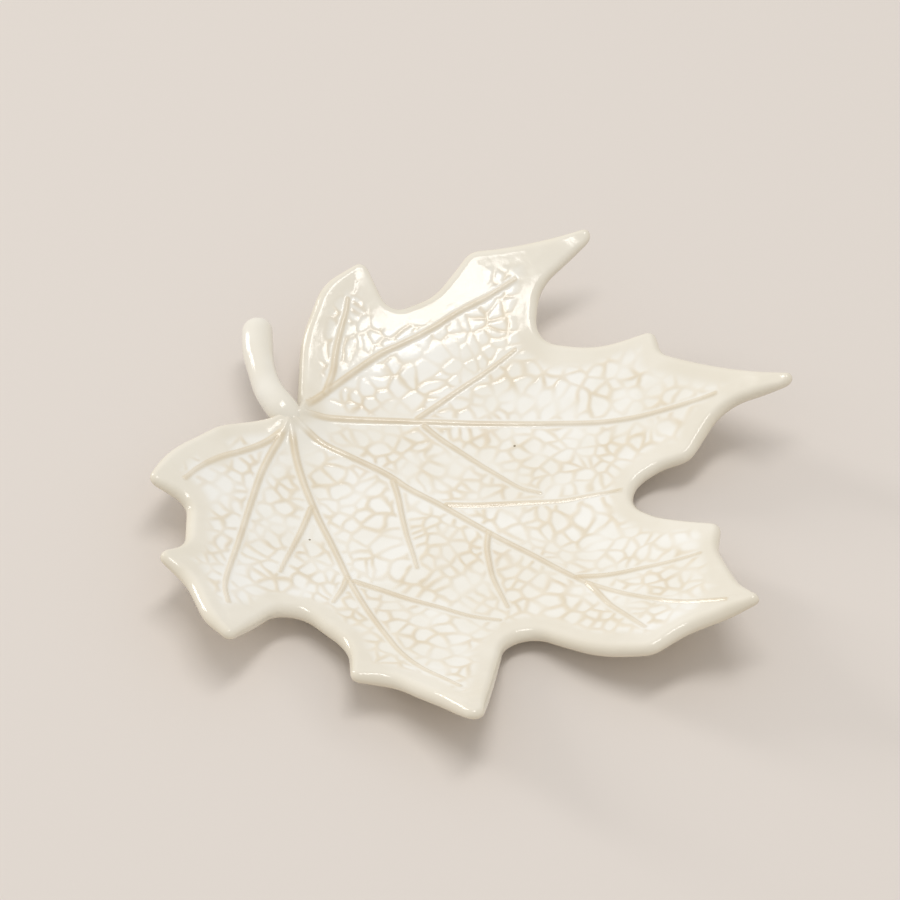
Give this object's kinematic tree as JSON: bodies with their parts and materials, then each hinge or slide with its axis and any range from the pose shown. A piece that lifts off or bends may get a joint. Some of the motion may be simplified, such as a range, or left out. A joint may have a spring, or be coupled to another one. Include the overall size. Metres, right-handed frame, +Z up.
{
  "type": "ring dish",
  "caption": "Shallow glazed stoneware dish shaped as a lobed maple leaf with raised veins, upturned lobes and a rolled stem.",
  "frame": {"origin": "centre of the flat foot under the leaf, on the surface that the dish stands on", "axes": "+Z up; +X along the leaf's midrib, from the stem to the tip of the middle lobe; Y across the leaf"},
  "size_m": [0.1507, 0.1472, 0.0258],
  "materials": {
    "leaf_glaze": "gloss",
    "stem_glaze": "gloss"
  },
  "bodies": {
    "root": {"leaf_dish": "leaf_glaze", "stem": "stem_glaze"}
  },
  "joints": []
}
